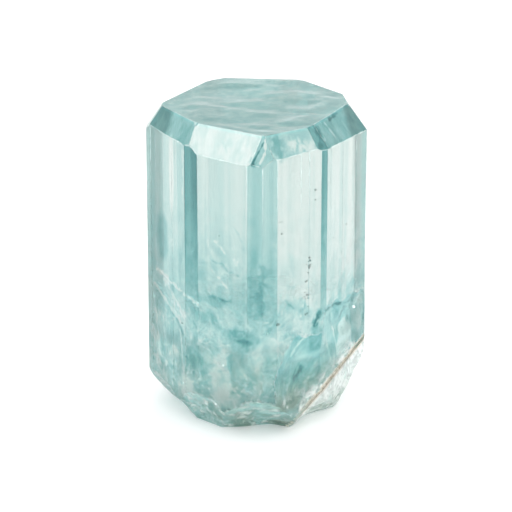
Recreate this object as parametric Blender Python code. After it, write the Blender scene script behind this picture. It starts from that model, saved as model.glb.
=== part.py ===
"""Aquamarine crystal: a stout, striated prism of beryl with a bevelled end, broken off at its foot.

Run it with blender --background --python part.py, or from Blender's text editor.
Blender's unit is the metre, +Z is up, and the crystal stands on its foot with its long axis on Z.
Lengths below are in millimetres and angles in degrees. MM turns a length into Blender's unit.
"""

import math
import random

import bmesh
import bpy
from mathutils import Vector, noise

MM = 0.001

# The length, from the resting face of the foot to the flat end face.
HEIGHT = 46.2

# Where the prism's axis stands, so that the whole crystal is centred over the origin.
AXIS = (-0.200, 0.356, 0.0)

# Prism faces, round the axis: compass direction of the normal, distance from the axis, striated flats.
PRISM_FACES = (
    (-147, 13.05, 8),
    (-138, 13.12, 1),
    (-121, 13.20, 9),
    (-97, 14.68, 2),
    (-72, 14.46, 2),
    (-58, 13.66, 8),
    (-44, 13.81, 1),
    (-31, 13.50, 9),
    (-5, 15.75, 2),
    (42, 14.60, 9),
    (64, 15.10, 2),
    (88, 14.00, 10),
    (118, 15.00, 3),
    (146, 13.90, 9),
    (178, 15.75, 2),
)

# Bevel faces round the end: direction, distance from the axis on the end face, tilt of the normal from +Z.
BEVEL_FACES = (
    (-146, 11.25, 59.5),
    (-120, 10.85, 58.0),
    (-90, 13.00, 65.0),
    (-60, 11.85, 58.0),
    (-38, 11.50, 56.0),
    (-29, 11.10, 55.0),
    (10, 13.10, 56.0),
    (42, 12.50, 58.0),
    (86, 11.80, 58.0),
    (118, 12.90, 58.0),
    (147, 11.80, 58.0),
    (178, 13.40, 57.0),
)

# Striation: how far a flat may be set back, and the width of the riser between two flats.
STEP_DEPTH = 0.08
RISER = 0.06
FLAT_WIDTHS = (0.5, 1.7)

# Relief of the end face: the spacing of its grid, its plain border, the height of its low terraces, and
# the distance from the rim over which they fade in. The swell that the terraces follow has so many waves
# to the millimetre across and along. Each terrace has the swell that it starts at and its share of height.
RELIEF_GRID = 1.0
RELIEF_BORDER = 0.45
RELIEF_HEIGHT = 0.11
RELIEF_FADE = 2.5
SWELL_WAVES = (0.10, 0.26)
SWELL_SEED = 3.7
TERRACES = ((0.10, 1.0), (-0.22, 0.7))
TERRACE_STEEPNESS = 6.0

# Conchoidal fractures. Each is a shallow bowl: a point on it, the way it faces (direction and rise),
# its radii of curvature across and along, and the point that its ripples spread from.
FRACTURES = {
    "right_scar": ((11.8, -4.4, 6.2), (-32, 1), (90, 60), (14.0, -4.0, 17.5)),
    "front_right_scar": ((10.4, -7.7, 6.0), (-63, -3), (22, 46), (10.2, -7.6, 17.0)),
    "flake_scar": ((13.0, -4.7, 4.8), (-28, -34), (34, 34), (15.0, -1.0, 8.0)),
    "flake_foot": ((10.8, -7.0, 3.4), (-46, -51), (24, 26), (10.5, -7.0, 5.5)),
    "front_scar": ((0.4, -11.4, 3.2), (-90, -43), (26, 30), (3.0, -14.0, 6.0)),
    "front_left_scar": ((-8.0, -8.7, 2.9), (-128, -26), (26, 30), (-8.5, -11.5, 8.0)),
    "left_scar": ((-12.9, -1.4, 2.9), (-154, -36), (42, 36), (-14.0, -4.0, 8.0)),
    "back_left_scar": ((-8.9, 7.6, 3.2), (140, -37), (30, 34), (-11.5, 8.5, 7.5)),
    "back_scar": ((-0.5, 10.4, 3.4), (94, -40), (36, 30), (-3.5, 13.5, 7.0)),
    "back_right_scar": ((8.8, 8.6, 4.2), (50, -34), (30, 30), (10.5, 11.5, 8.5)),
    "side_scar": ((13.2, 3.2, 4.4), (6, -31), (34, 36), (15.5, 4.0, 9.5)),
}
SCAR_REACH = 26.0
SCAR_RING = 0.75
SCAR_SPOKES = 52
SCAR_BLOCK = 16.0
RIPPLE_LENGTH = 2.6
RIPPLE_HEIGHT = 0.09
RIPPLE_FADE = 9.0
LUMP_SIZE = 4.2
LUMP_HEIGHT = 0.5

# The crack that parts the flake from the lower right: a point on its mouth, its normal, the way it
# opens, its width, its depth behind the mouth, and how far its slab stands out and runs.
CRACK_MOUTH = (12.2, -5.5, 7.6)
CRACK_NORMAL = (0.794, -0.228, -0.690)
CRACK_OPENING = -40
CRACK_WIDTH = 0.36
CRACK_DEPTH = 3.0
CRACK_CLEARANCE = 8.0
CRACK_LENGTH = 30.0

# Bruises on the edges: the ring of faces, the face that the edge comes after, the height, the bite.
BRUISES = (
    (PRISM_FACES, 8, 31.0, 0.16),
    (PRISM_FACES, 9, 20.0, 0.16),
    (PRISM_FACES, 13, 25.5, 0.18),
    (PRISM_FACES, 14, 35.0, 0.16),
    (BEVEL_FACES, 0, HEIGHT, 0.14),
    (BEVEL_FACES, 5, HEIGHT, 0.16),
    (BEVEL_FACES, 7, HEIGHT, 0.22),
    (BEVEL_FACES, 9, HEIGHT, 0.16),
)
BRUISE_RADIUS = 1.6
END_BRUISE_RISE = 40

AQUA = (0.52, 0.76, 0.75, 1.0)
POLISH = 0.08
CLARITY = 0.8
BERYL_IOR = 1.577
SEED = 7


def level(direction):
    """The level unit vector in a compass direction."""
    return Vector((math.cos(math.radians(direction)), math.sin(math.radians(direction)), 0))


def facing(direction, rise):
    """The unit vector in a compass direction, raised above level."""
    return level(direction) * math.cos(math.radians(rise)) + Vector((0, 0, math.sin(math.radians(rise))))


def corner(face, following):
    """Where two faces of a ring meet, in plan."""
    a, b = level(face[0]), level(following[0])
    across = a.x * b.y - a.y * b.x
    x = (face[1] * b.y - following[1] * a.y) / across
    y = (following[1] * a.x - face[1] * b.x) / across
    return Vector((x, y, 0))


def striated_side(start, end, normal, flats, dice):
    """Plan points of one prism face, from start up to end: uneven flats, each set back a little."""
    widths = [dice.uniform(*FLAT_WIDTHS) for _ in range(flats)]
    riser = RISER / (end - start).length / 2
    points, run, depth = [start], 0.0, 0.0
    for width in widths[:-1]:
        run += width / sum(widths)
        points.append(start.lerp(end, run - riser) - normal * depth)
        depth = dice.uniform(0.0, STEP_DEPTH)
        points.append(start.lerp(end, run + riser) - normal * depth)
    return points


def prism_outline():
    """The plan of the prism, as a closed loop of points."""
    dice = random.Random(SEED)
    outline = []
    for before, face, after in zip(PRISM_FACES[-1:] + PRISM_FACES, PRISM_FACES, PRISM_FACES[1:] + PRISM_FACES):
        start, end = corner(before, face), corner(face, after)
        outline += striated_side(start, end, level(face[0]), face[2], dice)
    return outline


def cut_away(bm, point, normal):
    """Cuts off all that lies beyond a plane, and closes the cut with a flat face."""
    parts = bm.verts[:] + bm.edges[:] + bm.faces[:]
    cut = bmesh.ops.bisect_plane(bm, geom=parts, plane_co=point * MM, plane_no=normal, clear_outer=True)
    rim = [part for part in cut["geom_cut"] if isinstance(part, bmesh.types.BMEdge)]
    bmesh.ops.edgeloop_fill(bm, edges=rim)


def bevelled_prism():
    """The prism with its bevelled end, every face of the end still flat."""
    bm = bmesh.new()
    foot = bm.faces.new([bm.verts.new(point * MM) for point in prism_outline()])
    grown = bmesh.ops.extrude_face_region(bm, geom=[foot])["geom"]
    end = [part for part in grown if isinstance(part, bmesh.types.BMVert)]
    bmesh.ops.translate(bm, vec=(0, 0, HEIGHT * MM), verts=end)
    for direction, distance, tilt in BEVEL_FACES:
        cut_away(bm, level(direction) * distance + Vector((0, 0, HEIGHT)), facing(direction, 90 - tilt))
    bmesh.ops.recalc_face_normals(bm, faces=bm.faces[:])
    return bm


def terrace_height(place):
    """How far the end face stands above or below its level: low swells in terraces, fading to the rim."""
    across, along = SWELL_WAVES
    swell = noise.fractal(Vector((place.x * across, place.y * along, SWELL_SEED)), 1.0, 2.0, 2)
    terraces = sum(share * math.tanh(TERRACE_STEEPNESS * (swell - start)) for start, share in TERRACES)
    room = min(distance - place.dot(level(direction)) for direction, distance, tilt in BEVEL_FACES)
    return RELIEF_HEIGHT * terraces * min(1.0, room / RELIEF_FADE)


def carve_end_face(bm):
    """Gives the end face a plain border and, inside it, a grid raised into terraces."""
    end = max(bm.faces, key=lambda face: face.calc_center_median().z)
    bmesh.ops.inset_region(bm, faces=[end], thickness=RELIEF_BORDER * MM, use_even_offset=True)
    faces = [end]
    reach = math.ceil(max(vert.co.xy.length for vert in end.verts) / MM / RELIEF_GRID)
    for axis in (Vector((1, 0, 0)), Vector((0, 1, 0))):
        for line in range(-reach, reach + 1):
            parts = {part for face in faces for part in (*face.verts, *face.edges, face)}
            where = axis * line * RELIEF_GRID * MM
            cut = bmesh.ops.bisect_plane(bm, geom=list(parts), plane_co=where, plane_no=axis)
            faces = [part for part in cut["geom"] if isinstance(part, bmesh.types.BMFace)]
    carved = set(faces)
    for vert in {vert for face in faces for vert in face.verts}:
        if carved.issuperset(vert.link_faces):
            vert.co.z += terrace_height(vert.co / MM) * MM


def new_object(name, bm, collection):
    """Turns a bmesh, modelled about the prism's axis, into an object in a collection."""
    mesh = bpy.data.meshes.new(name)
    bm.to_mesh(mesh)
    bm.free()
    made = bpy.data.objects.new(name, mesh)
    made.location = Vector(AXIS) * MM
    collection.objects.link(made)
    return made


def fracture_block(face_point, way, radii, blow):
    """A block whose inner side is a conchoidal bowl, in rings and spokes about the blow."""
    out = facing(*way)
    across = Vector((0, 0, 1)).cross(out).normalized()
    along = out.cross(across)
    face_point = Vector(face_point)
    blow = Vector(blow) - face_point
    centre = Vector((blow.dot(across), blow.dot(along)))

    def surface(ring, spoke):
        reach = ring * SCAR_RING
        turn = 2 * math.pi * spoke / SCAR_SPOKES
        u = centre.x + reach * math.cos(turn)
        v = centre.y + reach * math.sin(turn)
        place = face_point + across * u + along * v
        bowl = u * u / (2 * radii[0]) + v * v / (2 * radii[1])
        ripple = RIPPLE_HEIGHT * math.cos(2 * math.pi * reach / RIPPLE_LENGTH) * math.exp(-reach / RIPPLE_FADE)
        lump = LUMP_HEIGHT * noise.noise(place / LUMP_SIZE)
        return (place + out * (bowl + ripple + lump)) * MM

    bm = bmesh.new()
    middle = bm.verts.new(surface(0, 0))
    rings = range(1, round(SCAR_REACH / SCAR_RING) + 1)
    web = [[bm.verts.new(surface(ring, spoke)) for spoke in range(SCAR_SPOKES)] for ring in rings]
    for spoke in range(SCAR_SPOKES):
        bm.faces.new((middle, web[0][spoke - 1], web[0][spoke]))
        for inner, outer in zip(web, web[1:]):
            bm.faces.new((inner[spoke - 1], outer[spoke - 1], outer[spoke], inner[spoke]))
    rim = [edge for edge in bm.edges if edge.is_boundary]
    walls = bmesh.ops.extrude_edge_only(bm, edges=rim)["geom"]
    lifted = [part for part in walls if isinstance(part, bmesh.types.BMVert)]
    bmesh.ops.translate(bm, vec=out * SCAR_BLOCK * MM, verts=lifted)
    bmesh.ops.edgeloop_fill(bm, edges=[part for part in walls if isinstance(part, bmesh.types.BMEdge)])
    bmesh.ops.recalc_face_normals(bm, faces=bm.faces[:])
    return bm


def crack_slab():
    """A thin slab along the crack, from a little behind its mouth to well outside the crystal."""
    normal = Vector(CRACK_NORMAL).normalized()
    out = (level(CRACK_OPENING) - normal * level(CRACK_OPENING).dot(normal)).normalized()
    side = normal.cross(out)
    bm = bmesh.new()
    bmesh.ops.create_cube(bm, size=2.0)
    for vert in bm.verts:
        depth = CRACK_CLEARANCE if vert.co.x > 0 else -CRACK_DEPTH
        run, half = vert.co.y * CRACK_LENGTH / 2, vert.co.z * CRACK_WIDTH / 2
        vert.co = (Vector(CRACK_MOUTH) + out * depth + side * run + normal * half) * MM
    return bm


def bruise_ball(ring, number, height, bite):
    """A ball outside the crystal that takes a shallow bite out of one edge."""
    edge = corner(ring[number], ring[(number + 1) % len(ring)])
    rise = END_BRUISE_RISE if ring is BEVEL_FACES else 0
    out = facing(math.degrees(math.atan2(edge.y, edge.x)), rise)
    centre = edge + Vector((0, 0, height)) + out * (BRUISE_RADIUS - bite)
    bm = bmesh.new()
    bmesh.ops.create_icosphere(bm, subdivisions=3, radius=BRUISE_RADIUS * MM)
    bmesh.ops.translate(bm, vec=centre * MM, verts=bm.verts[:])
    return bm


def break_off(crystal):
    """Cuts every fracture, the crack and the bruises out of the crystal, in one Boolean."""
    breaks = bpy.data.collections.new("breaks")
    bpy.context.scene.collection.children.link(breaks)
    shapes = {name: fracture_block(*facts) for name, facts in FRACTURES.items()}
    shapes["crack"] = crack_slab()
    for number, facts in enumerate(BRUISES, start=1):
        shapes[f"bruise_{number}"] = bruise_ball(*facts)
    for name, shape in shapes.items():
        helper = new_object(name, shape, breaks)
        helper.hide_render = True
        helper.display_type = "WIRE"
    cut = crystal.modifiers.new("breaks", "BOOLEAN")
    cut.operation = "DIFFERENCE"
    cut.operand_type = "COLLECTION"
    cut.collection = breaks


def beryl():
    """Clear pale blue-green beryl."""
    material = bpy.data.materials.new("aquamarine")
    material.diffuse_color = AQUA
    material.use_nodes = True
    shader = material.node_tree.nodes["Principled BSDF"]
    shader.inputs["Base Color"].default_value = AQUA
    shader.inputs["Metallic"].default_value = 0.0
    shader.inputs["Roughness"].default_value = POLISH
    shader.inputs["IOR"].default_value = BERYL_IOR
    shader.inputs["Transmission Weight"].default_value = CLARITY
    return material


def main():
    for old in list(bpy.data.objects):
        bpy.data.objects.remove(old)
    blank = bevelled_prism()
    carve_end_face(blank)
    crystal = new_object("aquamarine_crystal", blank, bpy.context.scene.collection)
    crystal.data.materials.append(beryl())
    break_off(crystal)


main()
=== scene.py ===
"""Aquamarine crystal: builds the clear, striated crystal, what is inside it, and a small studio."""

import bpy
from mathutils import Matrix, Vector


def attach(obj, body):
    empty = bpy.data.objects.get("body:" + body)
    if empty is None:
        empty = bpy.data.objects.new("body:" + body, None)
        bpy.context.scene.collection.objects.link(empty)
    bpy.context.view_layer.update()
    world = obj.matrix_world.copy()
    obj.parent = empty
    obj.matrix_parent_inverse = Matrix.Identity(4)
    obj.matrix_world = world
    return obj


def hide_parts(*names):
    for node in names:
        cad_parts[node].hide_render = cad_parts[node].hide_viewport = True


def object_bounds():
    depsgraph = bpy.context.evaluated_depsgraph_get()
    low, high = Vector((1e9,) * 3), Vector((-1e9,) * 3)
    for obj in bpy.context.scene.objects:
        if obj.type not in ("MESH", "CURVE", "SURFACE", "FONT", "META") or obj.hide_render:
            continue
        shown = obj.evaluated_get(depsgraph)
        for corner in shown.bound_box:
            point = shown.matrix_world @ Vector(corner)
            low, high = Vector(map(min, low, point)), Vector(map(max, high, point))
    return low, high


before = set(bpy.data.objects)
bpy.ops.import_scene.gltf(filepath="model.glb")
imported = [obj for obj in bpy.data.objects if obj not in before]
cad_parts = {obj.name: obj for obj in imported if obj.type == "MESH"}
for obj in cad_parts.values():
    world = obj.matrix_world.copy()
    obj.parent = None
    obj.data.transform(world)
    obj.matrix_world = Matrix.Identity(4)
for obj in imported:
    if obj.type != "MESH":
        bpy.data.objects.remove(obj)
PACKED_BOX = [list(point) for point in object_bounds()]

import math
import random

import bmesh
import bpy
from bpy.props import FloatProperty, FloatVectorProperty, IntProperty, PointerProperty
from mathutils import Vector, noise
from mathutils.bvhtree import BVHTree

bl_info = {
    "name": "Aquamarine crystal",
    "version": (1, 0, 0),
    "blender": (4, 5, 0),
    "location": "3D View > Sidebar > Aquamarine",
    "description": "Builds a stout aquamarine crystal with its inclusions, and a plain studio for it",
    "category": "Add Mesh",
}

NODE = "aquamarine_crystal"
BODY = "root"
MM = 0.001

# The prism's axis in the frame, in millimetres, and the level of the flat end face.
AXIS = Vector((-0.200, 0.356, 0.0))
HEIGHT = 46.2

# Prism faces, round the axis: compass direction of the normal, distance from the axis, and how deep
# the colour looks near the end and lower down. Lengths in the tables are in millimetres, angles in
# degrees, and a depth of colour runs from 0, nearly clear, to 1, deep blue-green. The depths are partly
# the beryl's own colour and partly painted shade and painted reflection: the darker faces are painted
# shade seen through the crystal, the paler ones painted light let through and reflected.
PRISM_FACES = (
    (-147, 13.05, 0.32, 0.38),
    (-138, 13.12, 0.96, 0.75),
    (-121, 13.20, 0.20, 0.38),
    (-97, 14.68, 0.46, 0.60),
    (-72, 14.46, 0.44, 0.54),
    (-58, 13.66, 0.05, 0.02),
    (-44, 13.81, 0.90, 0.56),
    (-31, 13.50, 0.10, 0.10),
    (-5, 15.75, 0.04, 0.04),
    (42, 14.60, 0.10, 0.15),
    (64, 15.10, 0.60, 0.50),
    (88, 14.00, 0.10, 0.15),
    (118, 15.00, 0.60, 0.50),
    (146, 13.90, 0.10, 0.20),
    (178, 15.75, 0.20, 0.30),
)

# Bevel faces round the end: direction, distance from the axis on the end face, tilt of the normal
# from +Z, how deep the colour looks. These depths too are partly colour and partly painted shade and
# painted reflection; the palest bevel, at -120, is a painted reflection of the key light.
BEVEL_FACES = (
    (-146, 11.25, 59.5, 0.70),
    (-120, 10.85, 58.0, 0.14),
    (-90, 13.00, 65.0, 0.50),
    (-60, 11.85, 58.0, 0.45),
    (-38, 11.50, 56.0, 0.90),
    (-29, 11.10, 55.0, 0.72),
    (10, 13.10, 56.0, 0.40),
    (42, 12.50, 58.0, 0.55),
    (86, 11.80, 58.0, 0.25),
    (118, 12.90, 58.0, 0.65),
    (147, 11.80, 58.0, 0.35),
    (178, 13.40, 57.0, 0.60),
)
# How deep the end face's colour looks: partly its own colour, partly painted reflection of its surroundings.
END_TONE_AND_SHADE = 0.34

# Where the streaks on the breaks fan out from.
HACKLE_ORIGIN = (10.4, -9.6, 19.5)

# Patches of deeper (+) or paler (-) colour close under the faces: centre, reach, change, raggedness.
# The deeper patches are painted shade, the paler ones, the gleams, painted highlights.
PATCHES = {
    "left_shade": ((-13.5, -3.2, 27.4), (1.5, 2.4, 4.0), 0.32, 0.4),
    "left_gleam": ((-12.0, -5.4, 38.0), (0.5, 0.9, 7.0), -0.30, 0.3),
    "belly_shade": ((-2.2, -14.2, 16.3), (2.7, 1.8, 1.4), 0.36, 0.9),
    "shoulder_shade": ((-5.8, -11.9, 20.8), (2.4, 1.6, 0.9), 0.22, 1.0),
    "stripe_shade": ((-9.4, -9.2, 10.6), (1.2, 1.4, 2.9), 0.20, 1.0),
    "scar_dome": ((11.9, -5.2, 15.9), (2.0, 2.8, 1.9), 0.20, 0.6),
    "scar_flank": ((8.6, -10.2, 14.4), (1.8, 1.8, 2.4), 0.26, 0.8),
    "scar_foot": ((7.0, -10.2, 7.5), (3.0, 3.0, 4.0), 0.14, 0.8),
    "rear_left_shade": ((-9.0, 9.0, 17.0), (4.0, 3.0, 3.5), 0.30, 1.0),
    "rear_right_shade": ((7.5, 11.0, 23.0), (3.0, 3.0, 6.0), 0.25, 1.0),
    "side_shade": ((14.5, 3.0, 14.0), (2.5, 4.0, 3.0), 0.30, 1.0),
    "foot_gleam": ((-4.9, -12.4, 9.6), (1.9, 1.6, 4.4), -0.28, 0.8),
    "hem_gleam": ((-4.6, -12.6, 5.6), (2.6, 2.2, 1.4), -0.20, 1.6),
    "corner_gleam": ((-10.2, -8.2, 5.6), (2.4, 2.4, 2.0), -0.30, 1.2),
    "scar_gleam": ((12.8, -3.4, 11.6), (1.7, 2.3, 3.2), -0.66, 0.7),
    "scar_rim_gleam": ((14.9, -0.9, 14.5), (1.3, 2.2, 3.6), -0.34, 0.5),
    "rim_gleam": ((15.4, -0.6, 14.5), (0.8, 1.6, 5.0), -0.26, 0.4),
    "streak_gleam": ((10.0, -8.6, 12.6), (0.35, 0.6, 2.6), -0.30, 0.3),
    "face_gleam": ((-6.1, -11.7, 25.0), (1.7, 1.4, 4.0), -0.14, 0.8),
}

# Conchoidal fractures. Each is a shallow bowl: a point on it, the way it faces (direction and rise),
# its radii of curvature across and along, and the point that its ripples spread from.
FRACTURES = {
    "right_scar": ((11.8, -4.4, 6.2), (-32, 1), (90, 60), (14.0, -4.0, 17.5)),
    "front_right_scar": ((10.4, -7.7, 6.0), (-63, -3), (22, 46), (10.2, -7.6, 17.0)),
    "flake_scar": ((13.0, -4.7, 4.8), (-28, -34), (34, 34), (15.0, -1.0, 8.0)),
    "flake_foot": ((10.8, -7.0, 3.4), (-46, -51), (24, 26), (10.5, -7.0, 5.5)),
    "front_scar": ((0.4, -11.4, 3.2), (-90, -43), (26, 30), (3.0, -14.0, 6.0)),
    "front_left_scar": ((-8.0, -8.7, 2.9), (-128, -26), (26, 30), (-8.5, -11.5, 8.0)),
    "left_scar": ((-12.9, -1.4, 2.9), (-154, -36), (42, 36), (-14.0, -4.0, 8.0)),
    "back_left_scar": ((-8.9, 7.6, 3.2), (140, -37), (30, 34), (-11.5, 8.5, 7.5)),
    "back_scar": ((-0.5, 10.4, 3.4), (94, -40), (36, 30), (-3.5, 13.5, 7.0)),
    "back_right_scar": ((8.8, 8.6, 4.2), (50, -34), (30, 30), (10.5, 11.5, 8.5)),
    "side_scar": ((13.2, 3.2, 4.4), (6, -31), (34, 36), (15.5, 4.0, 9.5)),
}
FLAKES = ("flake_scar", "flake_foot")
SCAR_REACH = 26.0
SCAR_BLOCK = 16.0
RIPPLE_LENGTH = 2.6
RIPPLE_HEIGHT = 0.09
RIPPLE_FADE = 9.0
LUMP_SIZE = 4.2
LUMP_HEIGHT = 0.5

# The crack that parts the flake: a point on its mouth, its normal, the way it opens, its width, its
# depth behind the mouth, and how far its slab stands out and runs.
CRACK_MOUTH = Vector((12.2, -5.5, 7.6))
CRACK_NORMAL = Vector((0.794, -0.228, -0.690)).normalized()
CRACK_OPENING = -40
CRACK_WIDTH = 0.36
CRACK_DEPTH = 3.0
CRACK_CLEARANCE = 8.0
CRACK_LENGTH = 30.0

# Bruises on the edges: the ring of faces, the face that the edge comes after, the height, the bite.
BRUISES = (
    (PRISM_FACES, 8, 31.0, 0.16),
    (PRISM_FACES, 9, 20.0, 0.16),
    (PRISM_FACES, 13, 25.5, 0.18),
    (PRISM_FACES, 14, 35.0, 0.16),
    (BEVEL_FACES, 0, HEIGHT, 0.14),
    (BEVEL_FACES, 5, HEIGHT, 0.16),
    (BEVEL_FACES, 7, HEIGHT, 0.22),
    (BEVEL_FACES, 9, HEIGHT, 0.16),
)
BRUISE_RADIUS = 1.6
END_BRUISE_RISE = 40


# Lines of deeper (+) or paler (-) colour: start, end, width, change, raggedness. On the bevels, the
# corner, the scar, the finger and the stripe's rim they are painted shade (+) and painted highlights
# (-); on the end face, painted reflections of its waves.
LINES = {
    "upper_veil": ((-14.4, -1.8, 21.9), (-8.4, -10.3, 19.8), 0.70, -0.48, 0.5),
    "middle_veil": ((-13.4, -3.4, 21.0), (-10.2, -8.2, 17.0), 0.95, -0.30, 1.2),
    "lower_veil": ((-14.9, -1.1, 19.4), (-11.0, -6.9, 15.8), 0.65, -0.46, 0.5),
    "veil_fall": ((-11.1, -6.8, 16.4), (-10.4, -7.9, 7.9), 0.50, -0.34, 0.4),
    "veil_hem": ((-14.8, -1.2, 17.0), (-14.0, -2.4, 8.5), 0.55, -0.22, 0.8),
    "veil_knot": ((-11.3, -6.5, 15.6), (-10.6, -7.6, 14.2), 0.60, 0.42, 0.8),
    "stripe_knot": ((-9.0, -9.4, 16.8), (-8.4, -10.2, 15.8), 0.45, 0.30, 1.0),
    "stripe_rim": ((-10.4, -8.0, 42.4), (-10.5, -7.9, 34.5), 0.22, -0.40, 0.2),
    "finger_shade": ((0.9, -14.8, 27.0), (0.7, -14.8, 20.4), 1.30, 0.26, 0.6),
    "finger_rim": ((0.0, -14.6, 18.9), (1.9, -14.7, 18.7), 0.40, -0.36, 0.6),
    "wisp_1": ((-7.2, -11.0, 21.9), (-3.4, -13.3, 21.2), 0.60, 0.30, 1.6),
    "wisp_2": ((-5.8, -11.9, 30.2), (-2.9, -13.6, 27.4), 0.45, -0.30, 2.2),
    "wisp_3": ((-6.6, -11.4, 27.4), (-2.3, -14.0, 25.6), 0.32, 0.26, 2.2),
    "wisp_4": ((-7.2, -11.1, 26.6), (-4.0, -13.0, 23.4), 0.45, -0.26, 2.4),
    "wisp_5": ((-3.4, -13.4, 32.6), (-1.6, -14.4, 30.8), 0.34, 0.24, 2.2),
    "bevel_chip": ((1.1, -13.4, 45.4), (-0.6, -14.7, 42.5), 0.24, 0.55, 0.3),
    "bevel_wedge": ((-0.8, -14.4, 43.3), (-0.4, -14.7, 42.5), 0.70, 0.34, 0.3),
    "bevel_sliver": ((1.3, -13.2, 45.7), (1.2, -14.1, 43.8), 0.38, -0.50, 0.3),
    "bevel_sliver_foot": ((1.2, -14.1, 43.8), (0.5, -14.7, 42.6), 0.34, -0.45, 0.3),
    "bevel_stroke": ((-4.2, -12.1, 43.5), (-4.7, -10.8, 44.8), 0.26, 0.14, 0.6),
    "bevel_shade": ((2.9, -12.9, 45.2), (3.3, -13.5, 43.6), 1.90, 0.30, 0.4),
    "bevel_pale": ((5.4, -12.0, 44.6), (8.0, -10.8, 43.6), 1.50, -0.34, 0.6),
    "bevel_dot": ((5.7, -11.7, 44.4), (5.7, -12.1, 43.8), 0.40, 0.36, 0.4),
    "corner_shade": ((8.7, -7.9, 45.7), (8.8, -10.2, 43.4), 1.00, 0.22, 0.5),
    "corner_gleam": ((9.7, -6.2, 45.7), (11.2, -6.4, 43.5), 0.36, -0.42, 0.4),
    "corner_spot": ((9.7, -8.6, 44.2), (9.6, -8.8, 43.7), 0.50, -0.36, 0.4),
    "corner_brow": ((10.3, -4.9, 45.7), (11.4, -2.6, 45.8), 0.55, 0.34, 0.5),
    "scar_brow": ((10.0, -9.4, 18.5), (12.0, -6.0, 18.1), 0.60, 0.46, 0.4),
    "scar_brow_end": ((12.0, -6.0, 18.1), (14.0, -2.0, 16.9), 0.50, 0.30, 0.4),
    "scar_ray_1": ((11.0, -6.4, 14.6), (12.0, -4.1, 8.6), 0.50, -0.38, 0.7),
    "scar_ray_2": ((12.2, -4.2, 14.0), (13.1, -2.6, 8.6), 0.75, -0.46, 0.7),
    "scar_ray_3": ((13.5, -2.0, 13.8), (14.0, -1.6, 9.4), 0.50, -0.34, 0.7),
    "scar_ray_4": ((10.2, -7.4, 13.0), (10.9, -6.0, 8.8), 0.40, -0.30, 0.7),
    "scar_tip": ((8.4, -10.8, 17.0), (9.0, -10.4, 18.5), 0.85, 0.75, 0.3),
    "scar_hem": ((7.0, -11.7, 15.6), (5.0, -12.4, 12.4), 0.60, -0.40, 0.8),
    "scar_spot": ((6.4, -10.8, 9.9), (5.6, -11.0, 8.8), 1.30, 0.46, 0.8),
    "seam_1": ((3.8, -13.7, 21.9), (5.4, -12.7, 20.1), 0.30, 0.24, 1.0),
    "seam_2": ((7.1, -11.7, 21.0), (6.4, -12.1, 17.6), 0.28, 0.22, 1.0),
    "end_wave_1": ((-5.6, 0.5, 46.2), (-2.5, -2.2, 46.2), 0.45, -0.34, 1.2),
    "end_wave_2": ((-2.5, -2.2, 46.2), (0.9, -3.2, 46.2), 0.35, -0.26, 1.2),
    "end_wave_3": ((4.4, -3.0, 46.2), (9.8, -4.4, 46.2), 0.35, -0.22, 1.2),
    "end_wave_4": ((-5.4, -5.4, 46.2), (3.4, -7.6, 46.2), 0.30, 0.16, 1.6),
}

# Veils, which are healed cracks inside the crystal: from, to, how they go inward, how opaque.
VEILS = (
    ((-14.6, -1.2, 22.2), (-8.6, -10.0, 18.6), (2.2, 2.6, -0.6), 0.75),
    ((-14.9, -0.8, 19.6), (-9.8, -8.6, 16.0), (1.8, 2.6, 0.4), 0.65),
    ((-13.2, -3.4, 21.6), (-9.9, -8.3, 15.4), (1.6, 2.0, -0.3), 0.50),
    ((-11.2, -6.6, 16.4), (-10.4, -7.7, 8.4), (1.8, 2.4, 0.2), 0.55),
    ((-13.9, -2.4, 17.5), (-13.0, -3.8, 7.4), (2.0, 2.0, 0.3), 0.45),
    ((-6.6, -11.3, 11.6), (0.6, -14.4, 6.4), (0.6, 2.6, 0.5), 0.45),
    ((3.4, -13.6, 17.0), (6.6, -11.8, 14.4), (0.4, 2.4, 0.6), 0.50),
    ((6.4, -11.8, 14.0), (3.9, -13.2, 8.0), (-0.6, 2.2, 0.4), 0.60),
    ((10.8, 8.4, 26.0), (3.0, 12.8, 15.0), (-1.5, -2.6, 0.5), 0.55),
    ((13.8, 1.0, 20.0), (12.4, 6.6, 13.0), (-2.4, -1.0, 0.4), 0.55),
    ((-9.5, 8.0, 21.0), (-4.0, 12.0, 12.0), (1.2, -2.4, -0.5), 0.50),
)
VEIL_CELLS = (40, 12)
VEIL_CRUMPLE = 0.35
VEIL_MARGIN = 0.15

# Cloud inside the foot: how many feathery sheets, how far from the axis, between which heights, and
# how large they are.
CLOUD_SHEETS = 9
CLOUD_REACH = 8.5
CLOUD_HEIGHTS = (4.5, 18.5)
CLOUD_SIZES = (3.5, 6.5)
CLOUD_CELLS = (28, 28)
CLOUD_CRUMPLE = 0.8
CLOUD_OPACITY = 0.6
CLOUD_MARGIN = 1.0

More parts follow.
